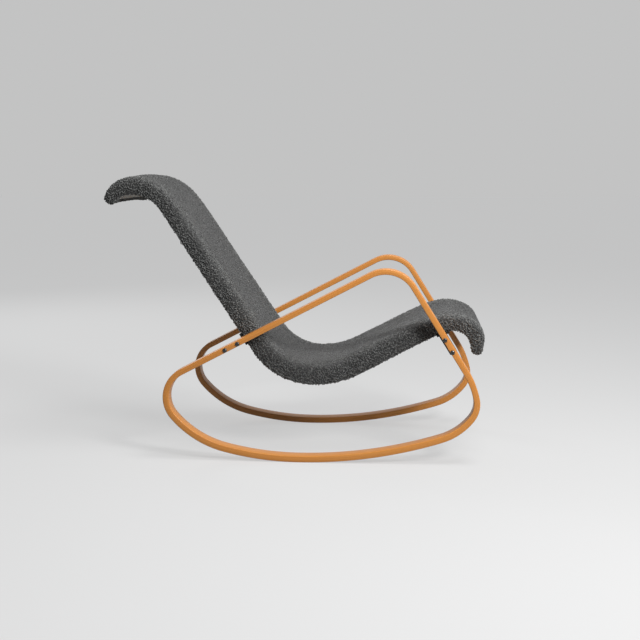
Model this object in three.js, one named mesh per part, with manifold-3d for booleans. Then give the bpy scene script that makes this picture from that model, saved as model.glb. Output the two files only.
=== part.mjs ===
// Bentwood lounge rocking chair.
// Two closed loops of bent laminated beech stand side by side, and each is arm, leg and runner in one.
// A padded seat on an S-curved wooden frame hangs between them on two steel cross members.
// Millimetres, X to the front of the chair, Y to the sitter's left, Z up.
// The origin is on the floor under the middle of the chair.

import * as THREE from 'three';
import { mergeVertices, toCreasedNormals } from 'three/addons/utils/BufferGeometryUtils.js';
import Module from 'manifold-3d';

const wasm = await Module();
wasm.setup();

// Clearance between fitted faces, and how far a cut runs past what it cuts
const gap = 0.3;
const cutOverrun = 4;

// Side loops. The bends are listed from the lowest point of the runner forwards, up the front leg,
// round the hand bend, back along the arm and round the heel. Turns are in degrees. The leg and the
// arm are straight, with the lengths that close the loop, and the rear of the runner takes the last turn.
const overallWidth = 580;
const loopWidth = 47;
const runnerThickness = 20;
const armThickness = 16.5;
const loopEdgeRadius = 4;
const runnerFrontRadius = 1415;
const runnerFrontTurn = 18;
const toeRadius = 190;
const toeTurn = 34.5;
const frontBendRadius = 78;
const frontBendTurn = 50;
const lowerLegRadius = 260;
const lowerLegTurn = 19.5;
const handBendRadius = 100;
const handBendTurn = 85.5;
const heelBendRadius = 92;
const heelBendTurn = 103;
const heelRiseRadius = 312;
const heelRiseTurn = 35.5;
const runnerRearRadius = 950;
const restLength = 32;

// Seat line, the middle of the side rails seen from the side. It starts at the hip, its lowest point,
// and its bends are listed outwards from there, forwards over the knee and back up to the head roll.
const hipForward = 37;
const hipHeight = 252.5;
const thighRiseRadius = 295;
const thighRiseTurn = 28;
const thighLength = 236;
const kneeRadius = 366;
const kneeTurn = 12;
const lipRadius = 71;
const lipTurn = 103;
const loinRadius = 206;
const loinTurn = 57;
const backLength = 523;
const neckRadius = 129;
const neckTurn = 61.5;
const headRollRadius = 72.5;
const headRollTurn = 48;

// Seat frame. Straps of webbing across the side rails carry the foam.
const sideClearance = 15;
const railWidth = 28;
const railDepth = 28;
const sidePadding = 8;
const crossRailWidth = 20;
const crossRailDepth = 22;
const endRailInset = 24;
const tenonLength = 12;
const tenonWidth = 10;
const tenonDepth = 14;
const webbingWidth = 62;
const webbingThickness = 2;
const webbingSetIn = 4;
const webbingEndInset = 40;
const webbingCount = 12;

// Padding and cover. The depth swells over the hip and thins towards both ends, so each place along
// the seat line, as a share of its length, has its share of the full depth. A rounded nose runs past
// each end, and its middle is drawn in between the two corners.
const clothThickness = 3;
const paddedDepth = 57.5;
const depthPlaceShares = [0, 0.01, 0.025, 0.04, 0.17, 0.3, 0.5, 0.6, 0.75, 0.93, 0.97, 0.985, 1];
const depthShares = [0.71, 0.8, 0.87, 0.9, 0.9, 0.92, 1, 1.04, 1.01, 0.93, 0.88, 0.8, 0.68];
const crownHeight = 4;
const sideSwell = 2;
const topEdgeRadius = 17;
const bottomEdgeRadius = 7;
const noseLength = 23;
const noseTurn = 72;
const endBow = 16;
const cornerRadius = 26;
const flangeWidth = 22;
const endFlangeWidth = 24;
const liningThickness = 1;

// Steel cross members. Each has a bar flat under the seat and a tab down each loop, and the washer
// of its first bolt stands clear of the bar.
const barWidth = 40;
const barThickness = 4;
const tabThickness = 4;
const tabLap = 5;
const tabEndMargin = 13;
const tabCornerRadius = 5;
const boltSpacing = 44;
const frontTabWidth = 24;
const frontWasherClearance = 1.2;
const frontBoltInset = 2.5;
const rearTabWidth = 20;
const rearWasherClearance = 4;
const rearBoltInset = 1.5;

// Bolts with round heads and hexagon sockets, their nuts and washers
const boltRadius = 4;
const boltHeadRadius = 7;
const boltHeadHeight = 4.4;
const boltHeadRim = 0.8;
const boltChamfer = 0.8;
const boltEndMargin = 1.4;
const socketWidth = 5;
const socketDepth = 2.6;
const nutWidth = 13;
const nutHeight = 6.5;
const nutChamfer = 0.8;
const washerRadius = 7.5;
const washerThickness = 1.6;

// Round-head wood screws that hold each bar up against the side rails
const screwRadius = 2.5;
const screwLength = 26;
const screwTipLength = 5;
const screwHeadRadius = 4.8;
const screwHeadHeight = 3;
const screwHeadRim = 0.6;
const recessLength = 5;
const recessWidth = 1;
const recessDepth = 1.5;
const screwSpacing = 24;
const screwInset = 7.5;

// The largest turn and length of one flat, and the steps round small forms
const loopFlatLength = 34;
const seatBendFlatLength = 60;
const seatStraightFlatLength = 180;
const loopFacets = { turn: 8, bend: loopFlatLength, straight: Infinity };
const seatFacets = { turn: 15, bend: seatBendFlatLength, straight: seatStraightFlatLength };
const edgeSteps = 2;
const crownSteps = 4;
const noseSteps = 3;
const tabCornerSteps = 3;
const domeSteps = 3;
const boltSides = 16;
const screwSides = 10;
const hexagonSides = 6;

// Places that follow from the sizes above
const degrees = Math.PI / 180;
const fullTurn = 360;
const creaseAngle = Math.PI / 6;
const halfWidth = overallWidth / 2;
const loopInner = halfWidth - loopWidth;
const seatHalfWidth = loopInner - sideClearance;
const railOuter = seatHalfWidth - clothThickness - sidePadding;
const railInner = railOuter - railWidth;
const windowHalfWidth = seatHalfWidth - flangeWidth;
const liningTop = -railDepth / 2 - gap;
const seatUnder = liningTop - clothThickness;
const webbingBase = railDepth / 2 + gap;
const webbingTop = webbingBase + webbingThickness;
const webbingReach = railOuter - webbingSetIn;
const tabOuter = loopInner - gap;
const tabInner = tabOuter - tabThickness;
const washerInner = tabInner - gap - washerThickness;
const nutInner = washerInner - gap - nutHeight;
const boltEnd = nutInner - boltEndMargin;
const boltShoulder = halfWidth + gap;
const sides = [
  { name: 'right', sign: -1 },
  { name: 'left', sign: 1 },
];

// Materials
const beech = new THREE.MeshStandardMaterial({ color: 0xcf8b47, roughness: 0.42, metalness: 0 });
const rawBeech = new THREE.MeshStandardMaterial({ color: 0xd9b184, roughness: 0.7, metalness: 0 });
const boucle = new THREE.MeshStandardMaterial({ color: 0x4c4d4c, roughness: 0.95, metalness: 0 });
const liningCloth = new THREE.MeshStandardMaterial({ color: 0xb9b0a2, roughness: 0.9, metalness: 0 });
const foam = new THREE.MeshStandardMaterial({ color: 0xd8c98c, roughness: 0.9, metalness: 0 });
const elastic = new THREE.MeshStandardMaterial({ color: 0x3a2d26, roughness: 0.85, metalness: 0 });
const blackSteel = new THREE.MeshStandardMaterial({ color: 0x17171a, roughness: 0.4, metalness: 0.8 });
const zincSteel = new THREE.MeshStandardMaterial({ color: 0x8d8f92, roughness: 0.35, metalness: 1 });

const chair = new THREE.Group();

function addMesh(name, solid, material) {
  const mesh = new THREE.Mesh(toGeometry(solid), material);
  mesh.name = name;
  chair.add(mesh);
  return mesh;
}

// A closed geometry as a solid that can be joined and cut
function toSolid(geometry) {
  const bare = geometry.clone();
  bare.deleteAttribute('normal');
  bare.deleteAttribute('uv');
  const merged = mergeVertices(bare);
  const corners = merged.index.array;
  const kept = [];
  for (let i = 0; i < corners.length; i += 3) {
    const [a, b, c] = corners.slice(i, i + 3);
    if (a !== b && b !== c && c !== a) kept.push(a, b, c);
  }
  const vertProperties = new Float32Array(merged.attributes.position.array);
  const triVerts = new Uint32Array(kept);
  return new wasm.Manifold(new wasm.Mesh({ numProp: 3, vertProperties, triVerts }));
}

function toGeometry(solid) {
  const mesh = solid.getMesh();
  const geometry = new THREE.BufferGeometry();
  geometry.setAttribute('position', new THREE.BufferAttribute(mesh.vertProperties, 3));
  geometry.setIndex(new THREE.BufferAttribute(mesh.triVerts, 1));
  return toCreasedNormals(geometry, creaseAngle);
}

// An outline in the side view, with X and Z, run across the chair between two places along Y
function acrossChair(outline, fromY, toY, hole = null, bevel = 0) {
  const flat = (points) => points.map((p) => new THREE.Vector2(p.x, p.z));
  const shape = new THREE.Shape(flat(outline));
  if (hole) shape.holes.push(new THREE.Path(flat(hole)));
  const geometry = new THREE.ExtrudeGeometry(shape, {
    depth: toY - fromY - 2 * bevel,
    steps: 1,
    bevelEnabled: bevel > 0,
    bevelThickness: bevel,
    bevelSize: bevel,
    bevelOffset: -bevel,
    bevelSegments: edgeSteps,
  });
  geometry.rotateX(Math.PI / 2);
  geometry.translate(0, toY - bevel, 0);
  return toSolid(geometry);
}

// A rectangle in the side view, with its length along a place's heading, raised along the normal
function rectangleAt(place, length, depth, raise = 0) {
  const corner = (u, v) => ({
    x: place.x + u * Math.cos(place.heading) - (v + raise) * Math.sin(place.heading),
    z: place.z + u * Math.sin(place.heading) + (v + raise) * Math.cos(place.heading),
  });
  const [u, v] = [length / 2, depth / 2];
  return [corner(-u, -v), corner(u, -v), corner(u, v), corner(-u, v)];
}

// A solid turned about Y from a profile of radius and place pairs, lowest first
function turned(profile, count) {
  const points = profile.map(([radius, y]) => new THREE.Vector2(radius, y));
  return new THREE.LatheGeometry(points, count);
}

// A quarter of a dome's profile, from its rim to its top
function domeProfile(radius, rim, top) {
  return Array.from({ length: domeSteps + 1 }, (_, i) => {
    const angle = ((i / domeSteps) * Math.PI) / 2;
    return [radius * Math.cos(angle), rim + (top - rim) * Math.sin(angle)];
  });
}

// Walks a chain of bends and straights, and returns its stations. Heading turns from +X towards +Z,
// and a positive turn bends upwards. A direction of -1 walks the same line backwards.
function walkChain(start, heading, pieces, direction, facets) {
  const stations = [{ ...start, heading }];
  let { x, z } = start;
  let angle = heading;
  for (const { radius, turn = 0, length } of pieces) {
    const wholeTurn = direction * turn * degrees;
    const wholeLength = length ?? radius * Math.abs(wholeTurn);
    const byLength = wholeLength / (turn === 0 ? facets.straight : facets.bend);
    const steps = Math.max(1, Math.ceil(Math.abs(turn) / facets.turn), Math.ceil(byLength));
    const stepTurn = wholeTurn / steps;
    const chord = turn === 0 ? wholeLength / steps : 2 * radius * Math.sin(Math.abs(stepTurn) / 2);
    for (let i = 0; i < steps; i += 1) {
      x += direction * chord * Math.cos(angle + stepTurn / 2);
      z += direction * chord * Math.sin(angle + stepTurn / 2);
      angle += stepTurn;
      stations.push({ x, z, heading: angle });
    }
  }
  return stations;
}

// Gives each station its distance along the line
function measureLine(stations) {
  let travelled = 0;
  stations.forEach((station, i) => {
    const last = stations[Math.max(i - 1, 0)];
    travelled += Math.hypot(station.x - last.x, station.z - last.z);
    station.s = travelled;
  });
  return stations;
}

// A place on a faceted line, raised off it along its normal, or straight on past the line's ends.
// Between two stations it has the heading of the flat that joins them.
function placeOn(line, s, raise = 0) {
  const after = line.findIndex((station) => station.s > s);
  const index = after < 0 ? line.length - 2 : Math.max(after - 1, 0);
  const [a, b] = [line[index], line[index + 1]];
  const share = THREE.MathUtils.clamp((s - a.s) / (b.s - a.s), 0, 1);
  const past = s - THREE.MathUtils.lerp(a.s, b.s, share);
  const raised = (station) => [
    station.x - raise * Math.sin(station.heading),
    station.z + raise * Math.cos(station.heading),
  ];
  const [ax, az] = raised(a);
  const [bx, bz] = raised(b);
  const atStation = share < 1 ? a.heading : b.heading;
  const heading = share > 0 && share < 1 ? Math.atan2(bz - az, bx - ax) : atStation;
  return {
    x: THREE.MathUtils.lerp(ax, bx, share) + past * Math.cos(heading),
    z: THREE.MathUtils.lerp(az, bz, share) + past * Math.sin(heading),
    heading,
  };
}

// The side loop's centre line, whose last station is its first again. The bends alone end away from
// their start, and the two straights have the lengths that bring the line back to it.
function loopCentreLine() {
  const restTurn = restLength / runnerFrontRadius / degrees;
  const pieces = [
    { radius: runnerFrontRadius, turn: restTurn },
    { radius: runnerFrontRadius, turn: runnerFrontTurn - restTurn / 2 },
    { radius: toeRadius, turn: toeTurn },
    { radius: frontBendRadius, turn: frontBendTurn },
    { radius: lowerLegRadius, turn: lowerLegTurn },
    { length: 0 },
    { radius: handBendRadius, turn: handBendTurn },
    { length: 0 },
    { radius: heelBendRadius, turn: heelBendTurn },
    { radius: heelRiseRadius, turn: heelRiseTurn },
  ];
  const sumOfTurns = (some) => some.reduce((sum, { turn = 0 }) => sum + turn, 0);
  pieces.push({ radius: runnerRearRadius, turn: fullTurn - sumOfTurns(pieces) });

  const heading = (-restTurn / 2) * degrees;
  const start = { x: runnerFrontRadius * Math.sin(heading), z: runnerThickness / 2 };
  const end = walkChain(start, heading, pieces, 1, loopFacets).pop();
  const short = new THREE.Vector2(start.x - end.x, start.z - end.z);
  const straights = pieces.filter((piece) => !piece.turn);
  const [up, back] = straights.map((piece) => {
    const angle = heading + sumOfTurns(pieces.slice(0, pieces.indexOf(piece))) * degrees;
    return new THREE.Vector2(Math.cos(angle), Math.sin(angle));
  });
  const [leg, arm] = straights;
  leg.length = short.cross(back) / up.cross(back);
  arm.length = up.cross(short) / up.cross(back);
  return measureLine(walkChain(start, heading, pieces, 1, loopFacets));
}

// The seat line from the head roll to the front lip
function seatCentreLine() {
  const hip = { x: hipForward, z: hipHeight };
  const forwards = [
    { radius: thighRiseRadius, turn: thighRiseTurn },
    { length: thighLength },
    { radius: kneeRadius, turn: -kneeTurn },
    { radius: lipRadius, turn: -lipTurn },
  ];
  const backwards = [
    { radius: loinRadius, turn: loinTurn },
    { length: backLength },
    { radius: neckRadius, turn: -neckTurn },
    { radius: headRollRadius, turn: -headRollTurn },
  ];
  const toHead = walkChain(hip, 0, backwards, -1, seatFacets).reverse();
  const toLip = walkChain(hip, 0, forwards, 1, seatFacets).slice(1);
  return measureLine([...toHead, ...toLip]);
}

const loopLine = loopCentreLine();
const seatLine = seatCentreLine();
const seatLength = seatLine[seatLine.length - 1].s;

// The outline of a strip that follows the seat line between two heights off it
function seatStrip(from, to, low, high) {
  const between = seatLine.map((station) => station.s).filter((s) => s > from + gap && s < to - gap);
  const places = [from, ...between, to];
  const lower = places.map((s) => placeOn(seatLine, s, low));
  const upper = places.map((s) => placeOn(seatLine, s, high));
  return [...lower, ...upper.reverse()];
}

// Where a loop and the seat's underside cross in the side view, the rear crossing first
function findCrossings() {
  const crossings = [];
  for (let i = 1; i < seatLine.length; i += 1) {
    const [a, b] = [seatLine[i - 1], seatLine[i]].map(({ s }) => placeOn(seatLine, s, seatUnder));
    for (let j = 1; j < loopLine.length; j += 1) {
      const [c, d] = [loopLine[j - 1], loopLine[j]];
      const spread = (b.x - a.x) * (d.z - c.z) - (b.z - a.z) * (d.x - c.x);
      const t = ((c.x - a.x) * (d.z - c.z) - (c.z - a.z) * (d.x - c.x)) / spread;
      const u = ((c.x - a.x) * (b.z - a.z) - (c.z - a.z) * (b.x - a.x)) / spread;
      if (t >= 0 && t < 1 && u >= 0 && u < 1) {
        crossings.push({
          seatS: THREE.MathUtils.lerp(seatLine[i - 1].s, seatLine[i].s, t),
          loopS: THREE.MathUtils.lerp(c.s, d.s, u),
        });
      }
    }
  }
  return crossings;
}

// A cross member's bar, close under the lowest place of the seat above it, and its bolts, the one
// nearer the seat first
function layOutMember(name, { seatS, loopS }, tabWidth, washerClearance, boltInset) {
  const seat = placeOn(seatLine, seatS);
  const underside = seatStrip(seatS - barWidth / 2, seatS + barWidth / 2, seatUnder, 0);
  const heights = underside.map((p) => (
    (p.z - seat.z) * Math.cos(seat.heading) - (p.x - seat.x) * Math.sin(seat.heading)
  ));
  const barTop = Math.min(...heights) - gap;
  const slope = Math.sin(placeOn(loopLine, loopS).heading - seat.heading);
  const barDepth = (seatUnder - barTop + barThickness) / Math.abs(slope);
  const boltDistance = barDepth + washerRadius / Math.abs(slope) + washerClearance;
  const bolts = [0, 1].map((count) => {
    const distance = boltDistance + count * boltSpacing;
    return placeOn(loopLine, loopS - Math.sign(slope) * distance, boltInset);
  });
  return { name, tabWidth, boltDistance, seat, bolts, barTop };
}

const [rearCrossing, frontCrossing] = findCrossings();
const members = [
  layOutMember('front', frontCrossing, frontTabWidth, frontWasherClearance, frontBoltInset),
  layOutMember('rear', rearCrossing, rearTabWidth, rearWasherClearance, rearBoltInset),
];

// A bolt's hole along Y, through anything between two places
function boltDrill({ x, z }, fromY, toY) {
  const radius = boltRadius + gap;
  const drill = new THREE.CylinderGeometry(radius, radius, toY - fromY, boltSides);
  drill.translate(x, (fromY + toY) / 2, z);
  return toSolid(drill);
}

// Side loops: a bent lamination of even width that thins a little from the runner to the arm
function addLoops() {
  const top = Math.max(...loopLine.map((station) => station.z));
  const face = (side) => loopLine.slice(0, -1).map(({ s, z }) => {
    const thickness = THREE.MathUtils.lerp(runnerThickness, armThickness, z / top);
    return placeOn(loopLine, s, (side * thickness) / 2);
  });
  for (const { name, sign } of sides) {
    const [fromY, toY] = [sign * halfWidth, sign * loopInner].sort((a, b) => a - b);
    let wood = acrossChair(face(-1), fromY, toY, face(1), loopEdgeRadius);
    for (const bolt of members.flatMap((member) => member.bolts)) {
      wood = wood.subtract(boltDrill(bolt, fromY - cutOverrun, toY + cutOverrun));
    }
    addMesh(`side_loop_${name}`, wood, beech);
  }
}

// The four places along the seat where a cross rail joins the side rails
const crossRails = [
  { name: 'head_rail', s: endRailInset },
  { name: 'rear_rail', s: rearCrossing.seatS },
  { name: 'front_rail', s: frontCrossing.seatS },
  { name: 'lip_rail', s: seatLength - endRailInset },
];

// A tenon across the chair at a cross rail's ends, or with a clearance the mortises for it
function tenonBar(s, clearance) {
  const [width, depth] = [tenonWidth + 2 * clearance, tenonDepth + 2 * clearance];
  const raise = (crossRailDepth - railDepth) / 2;
  const reach = railInner + tenonLength + clearance;
  return acrossChair(rectangleAt(placeOn(seatLine, s), width, depth, raise), -reach, reach);
}

function addCrossRails() {
  for (const { name, s } of crossRails) {
    const raise = (crossRailDepth - railDepth) / 2;
    const section = rectangleAt(placeOn(seatLine, s), crossRailWidth, crossRailDepth, raise);
    const rail = acrossChair(section, gap - railInner, railInner - gap);
    addMesh(name, rail.add(tenonBar(s, 0)), rawBeech);
  }
}

// Where a member's screws stand along the seat and across it
function screwPlaces({ seat }, sign) {
  const y = sign * (railInner + screwInset);
  return [-1, 1].map((end) => {
    const along = (end * screwSpacing) / 2;
    return {
      x: seat.x + along * Math.cos(seat.heading),
      z: seat.z + along * Math.sin(seat.heading),
      y,
      heading: seat.heading,
    };
  });
}

// Turns a form that stands on Y to stand on the seat's normal at a screw, raised along it
function standOnSeat(geometry, { x, y, z, heading }, raise) {
  geometry.rotateX(Math.PI / 2);
  geometry.translate(0, 0, raise);
  geometry.rotateY(-heading);
  geometry.translate(x, y, z);
  return geometry;
}

// The shoulder of a member's screws, under its bar
function screwShoulder({ barTop }) {
  return barTop - barThickness - gap;
}

// A screw's hole from under the bar up past its tip, or up to another height
function screwDrill(member, place, radius) {
  const length = screwLength + cutOverrun + gap;
  const drill = new THREE.CylinderGeometry(radius, radius, length, screwSides);
  return toSolid(standOnSeat(drill, place, screwShoulder(member) - cutOverrun + length / 2));
}

function addSideRails() {
  for (const { name, sign } of sides) {
    const [fromY, toY] = [sign * railInner, sign * railOuter].sort((a, b) => a - b);
    let rail = acrossChair(seatStrip(0, seatLength, -railDepth / 2, railDepth / 2), fromY, toY);
    for (const { s } of crossRails) rail = rail.subtract(tenonBar(s, gap));
    for (const member of members) {
      for (const place of screwPlaces(member, sign)) {
        rail = rail.subtract(screwDrill(member, place, screwRadius + gap));
      }
    }
    addMesh(`seat_rail_${name}`, rail, rawBeech);
  }
}

// Elastic straps across both side rails, evenly spaced along the seat
function addWebbing() {
  const [first, last] = [webbingEndInset, seatLength - webbingEndInset - webbingWidth];
  for (let i = 0; i < webbingCount; i += 1) {
    const from = THREE.MathUtils.lerp(first, last, i / (webbingCount - 1));
    const strip = seatStrip(from, from + webbingWidth, webbingBase, webbingTop);
    const name = `webbing_${String(i + 1).padStart(2, '0')}`;
    addMesh(name, acrossChair(strip, -webbingReach, webbingReach), elastic);
  }
}

// The padding's depth at a distance along the seat line
function depthAt(s) {
  const place = THREE.MathUtils.clamp(s / seatLength, 0, 1);
  const after = Math.max(depthPlaceShares.findIndex((share) => share >= place), 1);
  const [from, to] = [depthPlaceShares[after - 1], depthPlaceShares[after]];
  const share = (place - from) / (to - from);
  return paddedDepth * THREE.MathUtils.lerp(depthShares[after - 1], depthShares[after], share);
}

// One ring of the padded form, across the seat from its left underside over the top to its right.
// Towards the tip of an end nose the ring's share falls, and it narrows and flattens to its middle.
// The bow is how far the ring's middle is drawn along the seat line.
function paddedRing({ s, share, bow }, inset) {
  const half = seatHalfWidth - inset - cornerRadius * (1 - share);
  const full = depthAt(s) - 2 * inset;
  const middle = seatUnder + inset + full / 2;
  const [low, high] = [middle - (share * full) / 2, middle + (share * full) / 2];
  const [top, bottom] = [topEdgeRadius - inset, bottomEdgeRadius - inset].map((r) => r * share);
  const flank = [[half - bottom, low], [half, low + bottom], [half + sideSwell * share, middle]];
  const edge = Array.from({ length: edgeSteps + 1 }, (_, i) => {
    const angle = ((i / edgeSteps) * Math.PI) / 2;
    return [half - top + top * Math.cos(angle), high - top + top * Math.sin(angle)];
  });
  const crown = Array.from({ length: crownSteps - 1 }, (_, i) => {
    const across = 1 - (2 * (i + 1)) / crownSteps;
    return [(half - top) * across, high + crownHeight * share * (1 - across ** 2)];
  });
  const left = [...flank, ...edge];
  const right = left.map(([y, height]) => [-y, height]).reverse();
  return [...left, ...crown, ...right].map(([y, height]) => {
    const { x, z } = placeOn(seatLine, s + bow * (1 - (y / half) ** 2), height);
    return [x, y, z];
  });
}

// The whole padded form, in from the cover's outside by an inset, with a rounded nose past each end
function paddedForm(inset) {
  const nose = Array.from({ length: noseSteps }, (_, i) => {
    const angle = ((i + 1) / noseSteps) * noseTurn * degrees;
    const reachShare = Math.sin(angle) / Math.sin(noseTurn * degrees);
    return { reach: (noseLength - inset) * reachShare, share: Math.cos(angle), bow: endBow * reachShare };
  });
  const places = [
    ...nose.map(({ reach, share, bow }) => ({ s: -reach, share, bow })).reverse(),
    ...seatLine.map(({ s }) => ({ s, share: 1, bow: 0 })),
    ...nose.map(({ reach, share, bow }) => ({ s: seatLength + reach, share, bow: -bow })),
  ];
  const rings = places.map((place) => paddedRing(place, inset));
  const count = rings[0].length;
  const last = (rings.length - 1) * count;
  const corners = [];
  for (let ring = 0; ring < rings.length - 1; ring += 1) {
    for (let i = 0; i < count; i += 1) {
      const [a, b] = [ring * count + i, ring * count + ((i + 1) % count)];
      corners.push(a, b, a + count, b, b + count, a + count);
    }
  }
  for (let i = 1; i < count - 1; i += 1) {
    corners.push(0, i + 1, i, last, last + i, last + i + 1);
  }
  const geometry = new THREE.BufferGeometry();
  geometry.setAttribute('position', new THREE.Float32BufferAttribute(rings.flat(2), 3));
  geometry.setIndex(corners);
  return toSolid(geometry);
}

// Foam over the webbing, with skirts down both side rails and round their ends
function addFoam() {
  const [frameReach, strapReach] = [railOuter + gap, webbingReach + gap];
  const [from, to] = [webbingEndInset - gap, seatLength - webbingEndInset + gap];
  const frame = acrossChair(seatStrip(-gap, seatLength + gap, -railDepth, webbingBase), -frameReach, frameReach);
  const straps = acrossChair(seatStrip(from, to, 0, webbingTop + gap), -strapReach, strapReach);
  addMesh('seat_foam', paddedForm(clothThickness + gap).subtract(frame).subtract(straps), foam);
}

// Cover over all of the foam, turned in under the side rails as a flange round an open window
function addCover() {
  const [from, to] = [endFlangeWidth, seatLength - endFlangeWidth];
  const strip = seatStrip(from, to, seatUnder - cutOverrun, liningTop + cutOverrun);
  const window = acrossChair(strip, -windowHalfWidth, windowHalfWidth);
  const shell = paddedForm(0).subtract(paddedForm(clothThickness));
  addMesh('seat_cover', shell.subtract(window), boucle);
}

// Lining cloth that closes the cover's window, with holes for the screws
function addLining() {
  const [from, to] = [endFlangeWidth + gap, seatLength - endFlangeWidth - gap];
  const strip = seatStrip(from, to, liningTop - liningThickness, liningTop);
  const reach = windowHalfWidth - gap;
  let cloth = acrossChair(strip, -reach, reach);
  for (const member of members) {
    for (const { sign } of sides) {
      for (const place of screwPlaces(member, sign)) {
        cloth = cloth.subtract(screwDrill(member, place, screwRadius + gap));
      }
    }
  }
  addMesh('seat_lining', cloth, liningCloth);
}

// A member's tab in the side view, a plate with round corners along the line of its bolts
function tabOutline({ bolts: [first, second], tabWidth, boltDistance }) {
  const angle = Math.atan2(second.z - first.z, second.x - first.x);
  const radius = tabCornerRadius;
  const [from, to] = [radius - boltDistance - tabLap, boltSpacing + tabEndMargin - radius];
  const side = tabWidth / 2 - radius;
  const quarter = Math.PI / 2;
  const shape = new THREE.Shape();
  shape.absarc(to, side, radius, quarter, 0, true);
  shape.absarc(to, -side, radius, 0, -quarter, true);
  shape.absarc(from, -side, radius, -quarter, -2 * quarter, true);
  shape.absarc(from, side, radius, 2 * quarter, quarter, true);
  return shape.getPoints(tabCornerSteps).map(({ x, y }) => ({
    x: first.x + x * Math.cos(angle) - y * Math.sin(angle),
    z: first.z + x * Math.sin(angle) + y * Math.cos(angle),
  }));
}

// Steel cross members: a flat bar across the chair with a tab welded to each end
function addMembers() {
  for (const member of members) {
    const { name, seat, bolts, barTop } = member;
    const section = rectangleAt(seat, barWidth, barThickness, barTop - barThickness / 2);
    let steel = acrossChair(section, -tabOuter, tabOuter);
    for (const { sign } of sides) {
      const [fromY, toY] = [sign * tabInner, sign * tabOuter].sort((a, b) => a - b);
      steel = steel.add(acrossChair(tabOutline(member), fromY, toY));
    }
    for (const bolt of bolts) {
      steel = steel.subtract(boltDrill(bolt, -halfWidth, halfWidth));
    }
    for (const { sign } of sides) {
      for (const place of screwPlaces(member, sign)) {
        steel = steel.subtract(screwDrill(member, place, screwRadius + gap));
      }
    }
    addMesh(`cross_member_${name}`, steel, blackSteel);
  }
}

// A hexagon across the flats, standing on Y between two places
function hexagonPin(width, fromY, toY) {
  const radius = width / 2 / Math.cos(Math.PI / hexagonSides);
  const pin = new THREE.CylinderGeometry(radius, radius, toY - fromY, hexagonSides);
  pin.translate(0, (fromY + toY) / 2, 0);
  return toSolid(pin);
}

// A bolt with its head outwards on the left side of the chair
function makeBolt() {
  const top = boltShoulder + boltHeadHeight;
  const profile = [
    [0, boltEnd],
    [boltRadius - boltChamfer, boltEnd],
    [boltRadius, boltEnd + boltChamfer],
    [boltRadius, boltShoulder],
    [boltHeadRadius, boltShoulder],
    ...domeProfile(boltHeadRadius, boltShoulder + boltHeadRim, top),
  ];
  const socket = hexagonPin(socketWidth, top - socketDepth, top + cutOverrun);
  return toSolid(turned(profile, boltSides)).subtract(socket);
}

function makeWasher() {
  const [inner, outer] = [washerInner, washerInner + washerThickness];
  const bore = boltRadius + gap;
  const profile = [[bore, inner], [washerRadius, inner], [washerRadius, outer], [bore, outer], [bore, inner]];
  return toSolid(turned(profile, boltSides));
}

function makeNut() {
  const [inner, outer] = [nutInner, nutInner + nutHeight];
  const corner = nutWidth / 2 / Math.cos(Math.PI / hexagonSides);
  const profile = [
    [0, inner],
    [nutWidth / 2, inner],
    [corner, inner + nutChamfer],
    [corner, outer - nutChamfer],
    [nutWidth / 2, outer],
    [0, outer],
  ];
  const blank = hexagonPin(nutWidth, inner, outer).intersect(toSolid(turned(profile, boltSides)));
  return blank.subtract(boltDrill({ x: 0, z: 0 }, inner - cutOverrun, outer + cutOverrun));
}

// A bolt, a washer and a nut at every bolt place of both sides
function addBolts() {
  const kinds = [
    { name: 'bolt', solid: makeBolt(), material: blackSteel },
    { name: 'washer', solid: makeWasher(), material: zincSteel },
    { name: 'nut', solid: makeNut(), material: zincSteel },
  ];
  for (const { name, solid, material } of kinds) {
    for (const member of members) {
      for (const side of sides) {
        member.bolts.forEach(({ x, z }, i) => {
          const turnedOut = side.sign > 0 ? solid : solid.rotate([0, 0, fullTurn / 2]);
          const node = `${name}_${member.name}_${side.name}_${i + 1}`;
          addMesh(node, turnedOut.translate([x, 0, z]), material);
        });
      }
    }
  }
}

// A wood screw with its shoulder at zero and its tip upwards, and a cross recess in its head
function makeScrew() {
  const head = domeProfile(screwHeadRadius, -screwHeadRim, -screwHeadHeight).reverse();
  const profile = [
    ...head,
    [screwHeadRadius, 0],
    [screwRadius, 0],
    [screwRadius, screwLength - screwTipLength],
    [0, screwLength],
  ];
  return turned(profile, screwSides);
}

function addScrews() {
  for (const member of members) {
    for (const side of sides) {
      screwPlaces(member, side.sign).forEach((place, i) => {
        const shoulder = screwShoulder(member);
        let screw = toSolid(standOnSeat(makeScrew(), place, shoulder));
        for (const [along, across] of [[recessLength, recessWidth], [recessWidth, recessLength]]) {
          const slot = new THREE.BoxGeometry(along, 2 * recessDepth, across);
          screw = screw.subtract(toSolid(standOnSeat(slot, place, shoulder - screwHeadHeight)));
        }
        addMesh(`screw_${member.name}_${side.name}_${i + 1}`, screw, zincSteel);
      });
    }
  }
}

addLoops();
addSideRails();
addCrossRails();
addWebbing();
addFoam();
addCover();
addLining();
addMembers();
addBolts();
addScrews();

// Stands the chair on the floor with its middle over the origin
const bounds = new THREE.Box3().setFromObject(chair);
for (const mesh of chair.children) {
  mesh.geometry.translate(-(bounds.min.x + bounds.max.x) / 2, 0, -bounds.min.z);
}

export default chair;
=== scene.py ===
from math import asin, atan2, ceil, cos, pi, radians, sin

import bpy
import numpy as np
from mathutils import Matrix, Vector
from mathutils.kdtree import KDTree


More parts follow.
